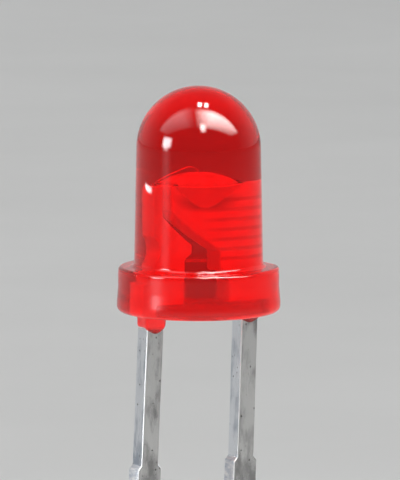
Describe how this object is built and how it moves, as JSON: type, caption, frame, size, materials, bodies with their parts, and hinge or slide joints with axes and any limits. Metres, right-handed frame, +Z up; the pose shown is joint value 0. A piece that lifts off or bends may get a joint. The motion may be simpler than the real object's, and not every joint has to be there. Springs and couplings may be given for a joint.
{
  "type": "through hole led",
  "caption": "Small round indicator lamp with a tinted domed lens, a flange with a cathode flat, stamped square leads and a chip in a reflector cup.",
  "frame": {"origin": "middle of the flange's underside, where the lamp seats on a board", "axes": "+Z up the lens axis towards the dome, +X towards the cathode lead and the flat, leads in the XZ plane"},
  "size_m": [0.0035, 0.0038, 0.0322],
  "materials": {
    "red_epoxy": "clear red tinted epoxy, glossy as cast",
    "plated_lead": "bright plated steel with handling marks",
    "silver_cement": "matte silver-filled cement",
    "chip": "cleaved semiconductor",
    "gold_wire": "bright drawn wire",
    "cloudy_resin": "cloudy resin that spreads the chip's light"
  },
  "bodies": {
    "root": {"lens": "red_epoxy", "cathode_lead": "plated_lead", "anode_lead": "plated_lead", "die_cement": "silver_cement", "die": "chip", "bond_wire": "gold_wire", "die_coat": "cloudy_resin"}
  },
  "joints": []
}
